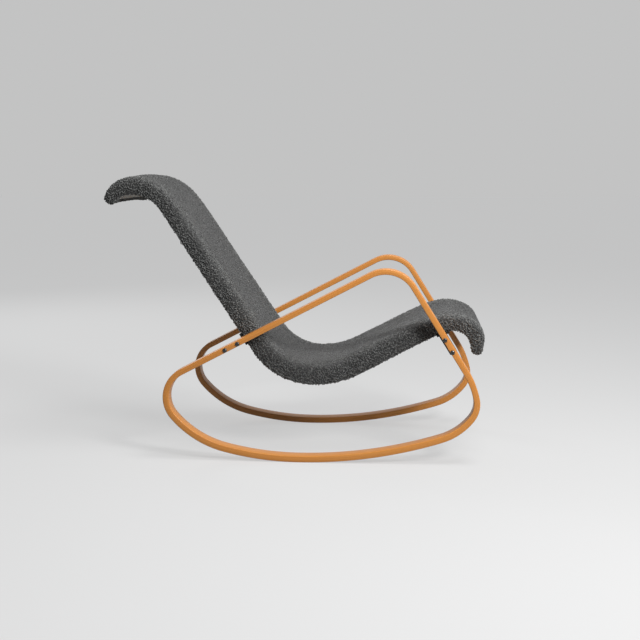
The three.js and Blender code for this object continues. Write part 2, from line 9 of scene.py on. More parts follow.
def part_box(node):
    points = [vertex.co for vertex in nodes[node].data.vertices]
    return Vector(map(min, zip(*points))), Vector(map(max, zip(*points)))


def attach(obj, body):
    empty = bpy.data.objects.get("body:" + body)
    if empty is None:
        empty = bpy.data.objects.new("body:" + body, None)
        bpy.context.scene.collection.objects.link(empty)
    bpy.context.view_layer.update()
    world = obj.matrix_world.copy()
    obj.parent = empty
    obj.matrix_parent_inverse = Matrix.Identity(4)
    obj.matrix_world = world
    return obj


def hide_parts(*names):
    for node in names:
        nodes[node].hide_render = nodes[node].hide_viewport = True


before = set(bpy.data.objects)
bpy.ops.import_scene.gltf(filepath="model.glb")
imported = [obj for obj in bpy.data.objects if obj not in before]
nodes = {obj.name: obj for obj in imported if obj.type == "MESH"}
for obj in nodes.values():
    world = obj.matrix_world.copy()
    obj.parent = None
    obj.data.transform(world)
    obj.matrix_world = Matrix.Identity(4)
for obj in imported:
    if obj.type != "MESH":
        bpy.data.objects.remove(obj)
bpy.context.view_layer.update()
bpy.ops.object.select_all(action="DESELECT")

# Camera
# It stands at the photograph's place: 3.6 m to the chair's right, a little above the arms,
# and turned slightly towards the head end.
camera_place = (0.3428, -3.588, 0.9128)
camera_tilt = radians(82.01)
camera_turn = radians(4.46)
focal_length = 61.594
sensor_width = 36

bpy.ops.object.camera_add(location=camera_place, rotation=(camera_tilt, 0, camera_turn))
camera = bpy.context.object
camera.data.sensor_fit = "HORIZONTAL"
camera.data.sensor_width = sensor_width
camera.data.lens = focal_length
bpy.context.scene.camera = camera

# Side loops
# Each loop is arm, leg and runner in one: thin plies of beech, glued up over a form, with rounded
# edges and a satin honey lacquer. They are swept round their bends here, one bend at a time.
loop_edge_radius = 0.0022
loop_edge_segments = 3
runner_thickness = 0.020
arm_thickness = 0.0165
loop_step = radians(3)
loop_step_length = 0.02
runner_front = {"radius": 1.415, "turn": radians(18)}
loop_bends = [
    runner_front,
    {"radius": 0.190, "turn": radians(34.5)},
    {"radius": 0.078, "turn": radians(50)},
    {"radius": 0.260, "turn": radians(19.5)},
    {"length": 0},
    {"radius": 0.100, "turn": radians(85.5)},
    {"length": 0},
    {"radius": 0.092, "turn": radians(103)},
    {"radius": 0.312, "turn": radians(35.5)},
]
runner_rear_radius = 0.950
rest_half = {"radius": runner_front["radius"], "turn": 0.016 / runner_front["radius"]}
rest_x = 0.02118
merge_distance = 1e-5
smooth_angle = radians(40)


def walk(start, heading, bends, direction=1):
    """The smooth line through a chain of bends and straights: rows of x, z, heading and distance."""
    x, z = start
    rows = [(x, z, heading, 0)]
    travelled = 0
    for bend in bends:
        turn = direction * bend.get("turn", 0)
        length = bend.get("length", bend.get("radius", 0) * abs(turn))
        steps = max(1, ceil(abs(turn) / loop_step), ceil(length / loop_step_length))
        chord = 2 * bend["radius"] * sin(abs(turn) / steps / 2) if turn else length / steps
        for _ in range(steps):
            middle = heading + turn / steps / 2
            x += direction * chord * cos(middle)
            z += direction * chord * sin(middle)
            heading += turn / steps
            travelled += length / steps
            rows.append((x, z, heading, travelled))
    return np.array(rows)


def close_loop(bends, rear_radius, last):
    """Adds the bends that make a whole turn, and gives both straights the lengths that close it."""
    turned = sum(b.get("turn", 0) for b in [*bends, last])
    whole = [*bends, {"radius": rear_radius, "turn": 2 * pi - turned}, last]
    end = walk((0, 0), 0, whole)[-1]
    straights = [i for i, bend in enumerate(whole) if "length" in bend]
    headings = [sum(b.get("turn", 0) for b in whole[:i]) for i in straights]
    along = np.array([[cos(h) for h in headings], [sin(h) for h in headings]])
    for i, length in zip(straights, np.linalg.solve(along, -end[:2])):
        whole[i] = {"length": length}
    return whole


loop_bends = close_loop(loop_bends, runner_rear_radius, rest_half)
loop_low, loop_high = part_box("side_loop_right")
loop_line = walk((rest_x, runner_thickness / 2), 0, loop_bends)


def select_only(piece):
    bpy.ops.object.select_all(action="DESELECT")
    bpy.context.view_layer.objects.active = piece
    piece.select_set(True)


def edit(piece):
    """Opens one piece in edit mode, with nothing else selected."""
    select_only(piece)
    bpy.ops.object.mode_set(mode="EDIT")


def leave_edit():
    bpy.ops.object.mode_set(mode="OBJECT")


def close_up(piece):
    """Merges doubled points, turns all faces outwards and shades them smooth up to an angle."""
    edit(piece)
    bpy.ops.mesh.select_all(action="SELECT")
    bpy.ops.mesh.remove_doubles(threshold=merge_distance)
    bpy.ops.mesh.normals_make_consistent(inside=False)
    leave_edit()
    bpy.ops.object.transform_apply(location=True, rotation=True, scale=True)
    bpy.ops.object.shade_smooth_by_angle(angle=smooth_angle)


def sweep(bends, x, y, z):
    """Carries the selected section round each bend in turn, in the side view."""
    heading = 0
    for bend in bends:
        if "turn" in bend:
            turn, radius = bend["turn"], bend["radius"]
            centre = (x - radius * sin(heading), y, z + radius * cos(heading))
            steps = max(ceil(turn / loop_step), ceil(radius * turn / loop_step_length))
            bpy.ops.mesh.spin(steps=steps, angle=turn, center=centre, axis=(0, 1, 0))
            heading += turn
            x, z = centre[0] + radius * sin(heading), centre[2] - radius * cos(heading)
        else:
            steps = ceil(bend["length"] / loop_step_length)
            step = Vector((cos(heading), 0, sin(heading))) * bend["length"] / steps
            for _ in range(steps):
                bpy.ops.mesh.extrude_region_move(TRANSFORM_OT_translate={"value": step})
            x, z = x + steps * step.x, z + steps * step.z


def model_loop(name, y):
    width = loop_high.y - loop_low.y
    z = runner_thickness / 2
    bpy.ops.mesh.primitive_plane_add(size=1, location=(rest_x, y, z), rotation=(0, pi / 2, 0))
    loop = bpy.context.object
    loop.name = name
    loop.scale = (runner_thickness, width, 1)
    bpy.ops.object.transform_apply(location=True, rotation=True, scale=True)
    edit(loop)
    bpy.ops.mesh.select_all(action="SELECT")
    bpy.ops.mesh.bevel(offset=loop_edge_radius, segments=loop_edge_segments, affect="VERTICES")
    bpy.ops.mesh.select_all(action="SELECT")
    bpy.ops.mesh.delete(type="ONLY_FACE")
    bpy.ops.mesh.select_all(action="SELECT")
    sweep(loop_bends, rest_x, y, z)
    leave_edit()
    close_up(loop)
    return loop


def nearest_places(points, line):
    """Each point's distance along a line in the side view, and how far it stands off it."""
    tree = KDTree(len(line))
    for i, (x, z, _, _) in enumerate(line):
        tree.insert((x, 0, z), i)
    tree.balance()
    index = np.array([tree.find((p[0], 0, p[2]))[1] for p in points])
    near = line[index]
    step = points[:, [0, 2]] - near[:, :2]
    heading = near[:, 2]
    along = step[:, 0] * np.cos(heading) + step[:, 1] * np.sin(heading)
    raised = step[:, 1] * np.cos(heading) - step[:, 0] * np.sin(heading)
    return near[:, 3] + along, raised, heading


def points_of(piece):
    points = np.empty(len(piece.data.vertices) * 3)
    piece.data.vertices.foreach_get("co", points)
    return points.reshape(-1, 3)


def move_points(piece, points):
    piece.data.vertices.foreach_set("co", points.astype(np.float32).ravel())
    piece.data.update()


def thin_towards_arm(loop):
    """The laminate loses a ply's worth of thickness between the runner and the arm."""
    points = points_of(loop)
    _, raised, heading = nearest_places(points, loop_line)
    share = points[:, 2] / loop_high.z
    excess = raised * share * (1 - arm_thickness / runner_thickness)
    points[:, 0] += excess * np.sin(heading)
    points[:, 2] -= excess * np.cos(heading)
    move_points(loop, points)


def corners_of(piece):
    """Which point each face corner is at, face by face."""
    corners = np.empty(len(piece.data.loops), int)
    piece.data.loops.foreach_get("vertex_index", corners)
    return corners


def mark_wood(piece, line, middle_y):
    """Stores where each corner lies in the plies: along the bend, across the width, through them."""
    points = points_of(piece)
    along, raised, _ = nearest_places(points, line)
    corners = corners_of(piece)
    starts = np.empty(len(piece.data.polygons), int)
    piece.data.polygons.foreach_get("loop_start", starts)
    sizes = np.diff([*starts, len(corners)])
    along = along[corners]
    length = line[-1, 3]
    longest = np.repeat(np.maximum.reduceat(along, starts), sizes)
    along[(longest - along) > length / 2] += length
    place = np.stack([along, points[corners, 1] - middle_y, raised[corners]], 1)
    wood = piece.data.attributes.new("plies", "FLOAT_VECTOR", "CORNER")
    wood.data.foreach_set("vector", place.astype(np.float32).ravel())


# Small tools for node trees: nodes and groups whose sockets are linked or set by one call
colour_mix_inputs = (0, 6, 7)
colour_mix_output = 2


def feed(tree, socket, value):
    """Links a socket to another, or sets it to a plain value."""
    if isinstance(value, bpy.types.NodeSocket):
        tree.links.new(value, socket)
    else:
        socket.default_value = value


def node(tree, kind, settings=None, **inputs):
    made = tree.nodes.new("ShaderNode" + kind)
    for key, value in (settings or {}).items():
        setattr(made, key, value)
    for key, value in inputs.items():
        numbered = key[0] == "i" and key[1:].isdigit()
        feed(tree, made.inputs[int(key[1:])] if numbered else made.inputs[key], value)
    return made


def maths(tree, operation, *values, clamp=False):
    made = tree.nodes.new("ShaderNodeMath")
    made.operation = operation
    made.use_clamp = clamp
    for socket, value in zip(made.inputs, values):
        feed(tree, socket, value)
    return made.outputs[0]


def mix_colour(tree, factor, first, second):
    made = node(tree, "Mix", {"data_type": "RGBA", "clamp_factor": True})
    for i, value in zip(colour_mix_inputs, (factor, first, second)):
        feed(tree, made.inputs[i], value)
    return made.outputs[colour_mix_output]


def new_group(name, inputs, outputs):
    """An empty shader group, with the sockets of its two ends."""
    tree = bpy.data.node_groups.new(name, "ShaderNodeTree")
    for label, kind, value in inputs:
        socket = tree.interface.new_socket(label, in_out="INPUT", socket_type="NodeSocket" + kind)
        if value is not None:
            socket.default_value = value
    for label, kind in outputs:
        tree.interface.new_socket(label, in_out="OUTPUT", socket_type="NodeSocket" + kind)
    ends = tree.nodes.new("NodeGroupInput"), tree.nodes.new("NodeGroupOutput")
    return tree, ends[0].outputs, ends[1].inputs


def join(tree, output, socket):
    tree.links.new(output, socket)


def stretched(tree, vector, scale):
    """A place scaled along each axis, so that a pattern runs long in one of them."""
    return node(tree, "Mapping", {"vector_type": "POINT"}, Vector=vector, Scale=scale).outputs[0]


def noise(tree, vector, scale, detail=2, roughness=0.5, distortion=0):
    made = node(tree, "TexNoise", None, Vector=vector, Scale=scale, Detail=detail,
                Roughness=roughness, Distortion=distortion)
    return made.outputs["Fac"]


def ramp(tree, value, low, high, to_low=0, to_high=1):
    """A value brought from one range to another, and kept within it."""
    made = node(tree, "MapRange", {"clamp": True}, i0=value, i1=low, i2=high, i3=to_low, i4=to_high)
    return made.outputs[0]


ply_jump = 3.7
streak_scale = (2.2, 60, 60)
fibre_scale = (7, 700, 700)
fleck_scale = (190, 1500, 1500)
streak_part = 0.6
fibre_part = 0.4
fleck_from, fleck_full = 0.6, 0.72
glue_from, glue_full = 0.46, 0.5
relief_part = 0.5


def build_grain():
    """Beech seen close to: long soft streaks, short dark flecks, pores, and a glue line per ply."""
    tree, inputs, outputs = new_group(
        "beech_grain",
        [("Place", "Vector", None), ("Ply", "Float", 0.0024), ("Seed", "Float", 0)],
        [("Streaks", "Float"), ("Flecks", "Float"), ("Glue", "Float"), ("Height", "Float")],
    )
    place = inputs["Place"]
    parts = node(tree, "SeparateXYZ", None, Vector=place)
    ply = maths(tree, "DIVIDE", parts.outputs["Z"], inputs["Ply"])
    number = maths(tree, "FLOOR", maths(tree, "ADD", ply, 0.5))
    jump = maths(tree, "MULTIPLY", number, ply_jump)
    shift = node(tree, "CombineXYZ", None, X=jump, Y=number, Z=inputs["Seed"])
    moved = node(tree, "VectorMath", {"operation": "ADD"}, i0=place, i1=shift.outputs[0]).outputs[0]
    broad = noise(tree, stretched(tree, moved, streak_scale), 1, 3, roughness=0.55, distortion=0.6)
    fine = noise(tree, stretched(tree, moved, fibre_scale), 1, detail=2, roughness=0.6)
    broad = maths(tree, "MULTIPLY", broad, streak_part)
    streaks = maths(tree, "ADD", broad, maths(tree, "MULTIPLY", fine, fibre_part))
    flecks = noise(tree, stretched(tree, moved, fleck_scale), 1, detail=1, roughness=0.5)
    flecks = ramp(tree, flecks, fleck_from, fleck_full)
    within = maths(tree, "ABSOLUTE", maths(tree, "SUBTRACT", ply, number))
    glue = ramp(tree, within, glue_from, glue_full)
    sunk = maths(tree, "MULTIPLY", flecks, relief_part)
    height = maths(tree, "SUBTRACT", maths(tree, "MULTIPLY", fine, relief_part), sunk)
    join(tree, streaks, outputs["Streaks"])
    join(tree, flecks, outputs["Flecks"])
    join(tree, glue, outputs["Glue"])
    join(tree, height, outputs["Height"])
    return tree


def new_material(name):
    """An empty material, with its shader and the tree that feeds it."""
    material = bpy.data.materials.new(name)
    material.use_nodes = True
    return material, material.node_tree, material.node_tree.nodes["Principled BSDF"]


def place_group(tree, group, **inputs):
    made = tree.nodes.new("ShaderNodeGroup")
    made.node_tree = group
    for key, value in inputs.items():
        feed(tree, made.inputs[key], value)
    return made.outputs


def bump(tree, shader, height, strength, distance):
    made = node(tree, "Bump", None, Height=height, Strength=strength, Distance=distance)
    join(tree, made.outputs[0], shader.inputs["Normal"])


def set_slots(piece, material):
    piece.data.materials.clear()
    piece.data.materials.append(material)


grain = build_grain()
honey = (0.72, 0.28, 0.050, 1)
honey_dark = (0.55, 0.18, 0.026, 1)
honey_pale = (0.80, 0.36, 0.085, 1)
glue_brown = (0.32, 0.10, 0.02, 1)
loop_ply = 0.0022
loop_seed = 4.0
honey_streaks = (0.36, 0.62)
honey_evenness = 0.55
fleck_strength = 0.35
glue_strength = 0.45
gloss_streaks = (0.3, 0.7)
lacquer_roughness = (0.34, 0.46)
lacquer_coat = 0.15
lacquer_coat_roughness = 0.22
lacquered_relief = {"strength": 0.25, "distance": 0.0002}


def honey_beech():
    material, tree, shader = new_material("honey_beech")
    place = node(tree, "Attribute", {"attribute_name": "plies"}).outputs["Vector"]
    wood = place_group(tree, grain, Place=place, Ply=loop_ply, Seed=loop_seed)
    colour = mix_colour(tree, ramp(tree, wood["Streaks"], *honey_streaks), honey_dark, honey_pale)
    colour = mix_colour(tree, honey_evenness, colour, honey)
    colour = mix_colour(tree, maths(tree, "MULTIPLY", wood["Flecks"], fleck_strength), colour, honey_dark)
    colour = mix_colour(tree, maths(tree, "MULTIPLY", wood["Glue"], glue_strength), colour, glue_brown)
    join(tree, colour, shader.inputs["Base Color"])
    rough = ramp(tree, wood["Streaks"], *gloss_streaks, *lacquer_roughness)
    join(tree, rough, shader.inputs["Roughness"])
    shader.inputs["Coat Weight"].default_value = lacquer_coat
    shader.inputs["Coat Roughness"].default_value = lacquer_coat_roughness
    bump(tree, shader, wood["Height"], **lacquered_relief)
    return material


loop_wood = honey_beech()
for side, sign in (("right", -1), ("left", 1)):
    middle = sign * -(loop_low.y + loop_high.y) / 2
    loop = model_loop(f"bent_loop_{side}", middle)
    mark_wood(loop, loop_line, middle)
    thin_towards_arm(loop)
    set_slots(loop, loop_wood)
    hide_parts(f"side_loop_{side}")
    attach(loop, "root")

# Seat frame
# Two S-curved side rails, glued up from beech plies and left raw, carry four cross rails in mortises.
# The upholstery hides them, so they keep their plain sawn faces.
raw_pale = (0.62, 0.42, 0.24, 1)
raw_dark = (0.47, 0.29, 0.15, 1)
rail_ply = 0.0028
rail_seed = 11.0
raw_streaks = (0.35, 0.65)
raw_fleck_strength = 0.4
raw_roughness = 0.72
sawn_relief = {"strength": 0.3, "distance": 0.0003}


def raw_beech(name, turn):
    """Bare beech with its grain along X, or turned to run across the chair."""
    material, tree, shader = new_material(name)
    place = node(tree, "TexCoord").outputs["Object"]
    place = node(tree, "Mapping", None, Vector=place, Rotation=turn).outputs[0]
    wood = place_group(tree, grain, Place=place, Ply=rail_ply, Seed=rail_seed)
    colour = mix_colour(tree, ramp(tree, wood["Streaks"], *raw_streaks), raw_dark, raw_pale)
    flecks = maths(tree, "MULTIPLY", wood["Flecks"], raw_fleck_strength)
    join(tree, mix_colour(tree, flecks, colour, raw_dark), shader.inputs["Base Color"])
    shader.inputs["Roughness"].default_value = raw_roughness
    bump(tree, shader, wood["Height"], **sawn_relief)
    return material


rail_wood = raw_beech("raw_beech_rails", (0, 0, 0))
cross_rail_wood = raw_beech("raw_beech_cross_rails", (0, 0, pi / 2))
for name, piece in nodes.items():
    if name.startswith("seat_rail"):
        set_slots(piece, rail_wood)
    elif name.endswith("_rail"):
        set_slots(piece, cross_rail_wood)

# Seat line
# The middle of the side rails in the side view, from the head roll to the front lip. All of the
# upholstery follows it. Its bends are listed outwards from the hip, its lowest point.
hip_forward = 0.037
hip_height = 0.2525
to_lip = [
    {"radius": 0.295, "turn": radians(28)},
    {"length": 0.236},
    {"radius": 0.366, "turn": -radians(12)},
    {"radius": 0.071, "turn": -radians(103)},
]
to_head = [
    {"radius": 0.206, "turn": radians(57)},
    {"length": 0.523},
    {"radius": 0.129, "turn": -radians(61.5)},
    {"radius": 0.0725, "turn": -radians(48)},
]


def seat_stations():
    hip = (rest_x + hip_forward, hip_height)
    back = walk(hip, 0, to_head, direction=-1)[::-1].copy()
    front = walk(hip, 0, to_lip)[1:].copy()
    length = back[0, 3]
    back[:, 3] = length - back[:, 3]
    front[:, 3] += length
    return np.concatenate([back, front])


seat_line = seat_stations()
seat_length = seat_line[-1, 3]


def bend_to_seat(along, across, raised):
    """Bends a flat form over the seat frame: places along the line, across it and off it."""
    stations = [np.interp(along, seat_line[:, 3], seat_line[:, i]) for i in range(3)]
    x, z, heading = stations
    past = along - np.clip(along, 0, seat_length)
    x = x + past * np.cos(heading) - raised * np.sin(heading)
    z = z + past * np.sin(heading) + raised * np.cos(heading)
    return np.stack([x, across, z], 1)


def put_in_order(slab):
    """Lists the faces by their corners. Extruding leaves them in another order each time, and the
    cloth's swelling and its curls go by that order."""
    points = points_of(slab)
    corners = corners_of(slab).reshape(-1, 4)
    turned = (corners.argmin(1)[:, None] + np.arange(4)) % 4
    corners = np.take_along_axis(corners, turned, 1)
    corners = corners[np.lexsort(corners.T[::-1])]
    slab.data.clear_geometry()
    slab.data.from_pydata(points.tolist(), [], corners.tolist())


def flat_slab(name, length, width, cell, layers):
    """A flat closed slab of square cells, a unit high, to be shaped and bent over the frame."""
    counts = (round(length / cell), round(width / cell))
    bpy.ops.object.select_all(action="DESELECT")
    bpy.ops.mesh.primitive_grid_add(x_subdivisions=counts[0], y_subdivisions=counts[1], size=1)
    slab = bpy.context.object
    slab.name = name
    slab.scale = (length, width, 1)
    bpy.ops.object.transform_apply(scale=True)
    edit(slab)
    bpy.ops.mesh.select_all(action="SELECT")
    for _ in range(layers):
        bpy.ops.mesh.extrude_region_move(TRANSFORM_OT_translate={"value": (0, 0, 1 / layers)})
    bpy.ops.mesh.select_all(action="SELECT")
    bpy.ops.mesh.normals_make_consistent(inside=False)
    leave_edit()
    put_in_order(slab)
    return slab


# Webbing
# Twelve elastic straps are tacked across the two side rails, and carry the foam. Each is a woven
# band of rubber threads and yarn, 62 mm wide.
webbing_weave = 0.0016
webbing_brown = (0.060, 0.036, 0.024, 1)
webbing_black = (0.014, 0.012, 0.011, 1)
webbing_layers = 1
webbing_cell = 0.006
webbing_roughness = 0.8
webbing_relief = 0.0004
thread_part = 0.5
lint_scale = 900
blotch_scale = 14
weave_part = 0.6
blotch_part = 0.5
weave_tones = (0.2, 0.9)
weave_strength = 0.6


def woven(name, thread, first, second, rough, relief):
    """A plain weave on the piece's own flat coordinates: threads over and under by turns."""
    material, tree, shader = new_material(name)
    place = node(tree, "Attribute", {"attribute_name": "flat"}).outputs["Vector"]
    parts = node(tree, "SeparateXYZ", None, Vector=place)
    turns = [maths(tree, "MULTIPLY", parts.outputs[axis], pi / thread) for axis in ("X", "Y")]
    waves = [maths(tree, "SINE", turn) for turn in turns]
    over = maths(tree, "MULTIPLY", waves[0], waves[1])
    lint = noise(tree, place, lint_scale, detail=3, roughness=0.7)
    height = maths(tree, "ADD", maths(tree, "MULTIPLY", over, thread_part), lint)
    blotch = noise(tree, place, blotch_scale, detail=3, roughness=0.6)
    blotch = maths(tree, "MULTIPLY", blotch, blotch_part)
    shade = maths(tree, "ADD", maths(tree, "MULTIPLY", height, weave_part), blotch)
    colour = mix_colour(tree, ramp(tree, shade, *weave_tones), first, second)
    join(tree, colour, shader.inputs["Base Color"])
    shader.inputs["Roughness"].default_value = rough
    bump(tree, shader, height, weave_strength, relief)
    return material


def mark_flat(piece, along, across):
    """Keeps where each point lay before the cloth was bent, for its weave."""
    flat = piece.data.attributes.new("flat", "FLOAT_VECTOR", "POINT")
    place = np.stack([along, across, np.zeros_like(along)], 1)
    flat.data.foreach_set("vector", place.astype(np.float32).ravel())


webbing_cloth = woven("elastic_webbing", webbing_weave, webbing_black, webbing_brown,
                      webbing_roughness, webbing_relief)
webbing_names = sorted(name for name in nodes if name.startswith("webbing_"))
for name in webbing_names:
    low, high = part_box(name)
    cad_points = points_of(nodes[name])
    along, raised, _ = nearest_places(cad_points, seat_line)
    strap = flat_slab(f"strap_{name[-2:]}", np.ptp(along), high.y - low.y, webbing_cell, webbing_layers)
    points = points_of(strap)
    strap_along = points[:, 0] + (along.min() + along.max()) / 2
    lift = raised.min() + points[:, 2] * np.ptp(raised)
    mark_flat(strap, strap_along, points[:, 1])
    move_points(strap, bend_to_seat(strap_along, points[:, 1], lift))
    bpy.ops.object.shade_smooth_by_angle(angle=smooth_angle)
    set_slots(strap, webbing_cloth)
    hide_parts(name)
    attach(strap, "root")

# Foam
# One pad of open upholstery foam lies on the webbing, and its skirts wrap both side rails and their
# ends. It is cut to shape, so its faces are flat with small burst cells.
foam_cream = (0.72, 0.60, 0.30, 1)
foam_shade = (0.50, 0.38, 0.15, 1)
foam_edge = 0.0008
foam_pull_in = 0.0022
foam_sink_place_shares = [0, 0.07, 0.115, 0.17, 0.76, 0.9, 0.945, 0.975, 1]
foam_sinks = [0, 0, 0.006, 0, 0, 0.008, 0.012, 0.008, 0.008]
foam_base = 0.015
foam_sink_over = 0.012
foam_nose_length = 0.020
foam_nose_pull = 0.006
end_bow = 0.012
foam_cell_scale = 900
foam_cell_walls = (0.1, 0.7)
foam_roughness = 0.95
foam_relief = {"strength": 0.7, "distance": 0.0006}
foam_cut_angle = radians(50)


def foam_material():
    material, tree, shader = new_material("open_foam")
    place = node(tree, "TexCoord").outputs["Object"]
    cells = node(tree, "TexVoronoi", None, Vector=place, Scale=foam_cell_scale).outputs["Distance"]
    colour = mix_colour(tree, ramp(tree, cells, *foam_cell_walls), foam_shade, foam_cream)
    join(tree, colour, shader.inputs["Base Color"])
    shader.inputs["Roughness"].default_value = foam_roughness
    bump(tree, shader, cells, **foam_relief)
    return material


def copy_node(name, new_name):
    """A copy of a CAD node, with its loose triangles merged, that stands for it."""
    piece = nodes[name].copy()
    piece.data = nodes[name].data.copy()
    piece.name = new_name
    piece.parent = None
    for key in list(piece.keys()):
        del piece[key]
    bpy.context.collection.objects.link(piece)
    edit(piece)
    bpy.ops.mesh.select_all(action="SELECT")
    bpy.ops.mesh.remove_doubles(threshold=merge_distance)
    leave_edit()
    return piece


def apply_modifier(piece, kind, name, **settings):
    """Adds one modifier, sets it and applies it."""
    select_only(piece)
    modifier = piece.modifiers.new(name, kind)
    for key, value in settings.items():
        setattr(modifier, key, value)
    bpy.ops.object.modifier_apply(modifier=name)


def pull_foam(pad):
    """Presses the pad in where the cover is pulled tighter: over its shoulder and lip, and at the
    middle of both ends."""
    points = points_of(pad)
    along, raised, heading = nearest_places(points, seat_line)
    sink = np.interp(along / seat_length, foam_sink_place_shares, foam_sinks)
    sink = sink * np.clip((raised - foam_base) / foam_sink_over, 0, 1)
    nose = np.clip((along - np.clip(along, 0, seat_length)) / foam_nose_length, -1, 1)
    bow = nose * (foam_nose_pull + end_bow * (1 - (points[:, 1] / points[:, 1].max()) ** 2))
    points[:, 0] += sink * np.sin(heading) - bow * np.cos(heading)
    points[:, 2] -= sink * np.cos(heading) + bow * np.sin(heading)
    move_points(pad, points)


foam = copy_node("seat_foam", "foam_pad")
pull_foam(foam)
apply_modifier(foam, "DISPLACE", "pull_in", strength=-foam_pull_in, mid_level=0)
apply_modifier(foam, "BEVEL", "cut_edge", width=foam_edge, segments=2, limit_method="ANGLE",
               angle_limit=foam_cut_angle)
bpy.ops.object.shade_smooth_by_angle(angle=smooth_angle)
set_slots(foam, foam_material())
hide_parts("seat_foam")
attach(foam, "root")

# Seat cover
# Dark grey boucle over the foam, pulled round its sides and ends and turned in under the rails. It
# is made as a flat slab, given its depth, crown and noses, bent over the frame, swelled by its
# padding, opened underneath and roughened with curls of yarn.
_, cover_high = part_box("seat_cover")
cover_cell = 0.0075
cover_layers = 7
cloth_thickness = 0.001
seat_under = -0.0173
padded_depth = 0.0575
head_place_shares = [0, 0.01, 0.025, 0.055, 0.08, 0.115, 0.17, 0.3]
head_depth_shares = [0.78, 0.86, 0.9, 0.95, 0.9, 0.84, 0.9, 0.92]
lip_place_shares = [0.5, 0.6, 0.75, 0.83, 0.88, 0.9, 0.915, 0.93, 0.945, 0.957, 0.975, 0.99, 1]
lip_depth_shares = [1, 1.04, 1.01, 0.98, 0.935, 0.91, 0.87, 0.81, 0.79, 0.85, 0.89, 0.81, 0.69]
top_edge_radius = 0.019
bottom_edge_radius = 0.009
crown_place_shares = [0, 0.02, 0.05, 0.08, 0.12, 0.17, 0.6, 0.68, 0.78, 0.85, 1]
crown_heights = [0.004, 0.006, 0.010, 0.006, 0.003, 0.006, 0.006, 0.007, 0.005, 0.004, 0.003]
edge_drop_place_shares = [0, 0.05, 0.12, 1]
edge_drops = [0.002, 0.003, 0.0055, 0.0055]
edge_drop_width = 0.022
nose_length = 0.027
lip_nose_length = 0.033
corner_radius = 0.016
flange_width = 0.022
end_flange_width = 0.012
yarn_depth = 0.0035
flat_yarn_depth = 0.0018
swell_cap = 0.004
swell_pressure = 4
swell_frames = 12
swell_quality = 4
firmness = (0.14, 0.26)
patch_turns_along = (19, 7)
patch_turns_across = (11, 14)
least_move = 1e-9


def round_section(across, height, half, depth):
    """Rounds the slab's section: wide edges on top, tight ones where the cloth turns under."""
    radius = bottom_edge_radius + (top_edge_radius - bottom_edge_radius) * height
    level = height * depth
    core_y = np.clip(across, radius - half, half - radius)
    core_z = np.clip(level, radius, depth - radius)
    out_y = (across - core_y) / radius
    out_z = (level - core_z) / radius
    reach = np.maximum(1, np.hypot(out_y, out_z))
    return core_y + radius * out_y / reach, core_z + radius * out_z / reach


def shape_pad(along, across, height):
    """The padded form in flat space, from the slab's places, with a rounded nose at each end."""
    half = cover_high.y - yarn_depth
    across, level = round_section(across, height, half, padded_depth)
    crown = np.interp(along / seat_length, crown_place_shares, crown_heights) * (1 - (across / half) ** 2)
    level = level / padded_depth * 2 - 1
    past = (along - np.clip(along, 0, seat_length)) / (nose_length - yarn_depth)
    reach = np.maximum(1, np.hypot(past, level))
    nose, level = past / reach, level / reach
    thin = np.sqrt(np.clip(1 - nose ** 2, 0, 1))
    across = across * (1 - corner_radius / half * (1 - thin))
    reach_out = np.where(nose > 0, lip_nose_length, nose_length) - yarn_depth
    along = np.clip(along, 0, seat_length) + nose * reach_out
    outward = np.clip((np.abs(across) - half) / edge_drop_width + 1, 0, 1)
    drop = np.interp(along / seat_length, edge_drop_place_shares, edge_drops)
    drop = drop * outward ** 2 * (3 - 2 * outward) * np.clip(-level, 0, 1)
    place_shares = [*head_place_shares, *lip_place_shares]
    depth_shares = [*head_depth_shares, *lip_depth_shares]
    depth = padded_depth * np.interp(along / seat_length, place_shares, depth_shares)
    along = along - nose * end_bow * (1 - (across / half) ** 2)
    raised = seat_under - drop + depth / 2 * (1 + level) + crown * thin * (level > 0)
    return along, across, raised - np.where(level > 0, yarn_depth, flat_yarn_depth) * level


def swell(pad, pinned, along, across):
    """Cloth under a light pressure, held where it turns under the rails and by the foam's firmness,
    which varies slowly over the pad."""
    start = points_of(pad)
    bands = np.sin(along * patch_turns_along[0] + 2 * np.sin(across * patch_turns_across[0]))
    patches = bands * np.sin(across * patch_turns_across[1] + along * patch_turns_along[1])
    firm = firmness[0] + (firmness[1] - firmness[0]) * (0.5 + 0.5 * patches)
    firm[pinned] = 1
    held = pad.vertex_groups.new(name="held")
    for i, weight in enumerate(firm):
        held.add([i], float(weight), "REPLACE")
    cloth = pad.modifiers.new("swell", "CLOTH")
    cloth.settings.vertex_group_mass = "held"
    cloth.settings.quality = swell_quality
    cloth.settings.use_pressure = True
    cloth.settings.uniform_pressure_force = swell_pressure
    cloth.settings.effector_weights.gravity = 0
    cloth.point_cache.frame_start = 1
    cloth.point_cache.frame_end = swell_frames
    for step in range(1, swell_frames + 1):
        bpy.context.scene.frame_set(step)
    select_only(pad)
    bpy.ops.object.modifier_apply(modifier="swell")
    bpy.context.scene.frame_set(1)
    moved = points_of(pad) - start
    far = np.maximum(np.linalg.norm(moved, axis=1, keepdims=True), least_move)
    move_points(pad, start + moved * np.minimum(1, swell_cap / far))


def open_underside(pad, along, across, raised):
    """Takes out the window under the seat that the lining closes."""
    inset = end_flange_width + cover_cell
    inside = (along > inset) & (along < seat_length - inset) & (raised < seat_under + bottom_edge_radius)
    inside &= np.abs(across) < cover_high.y - flange_width - cover_cell
    edit(pad)
    bpy.ops.mesh.select_mode(type="VERT")
    bpy.ops.mesh.select_all(action="DESELECT")
    leave_edit()
    pad.data.vertices.foreach_set("select", inside)
    edit(pad)
    bpy.ops.mesh.delete(type="VERT")
    leave_edit()


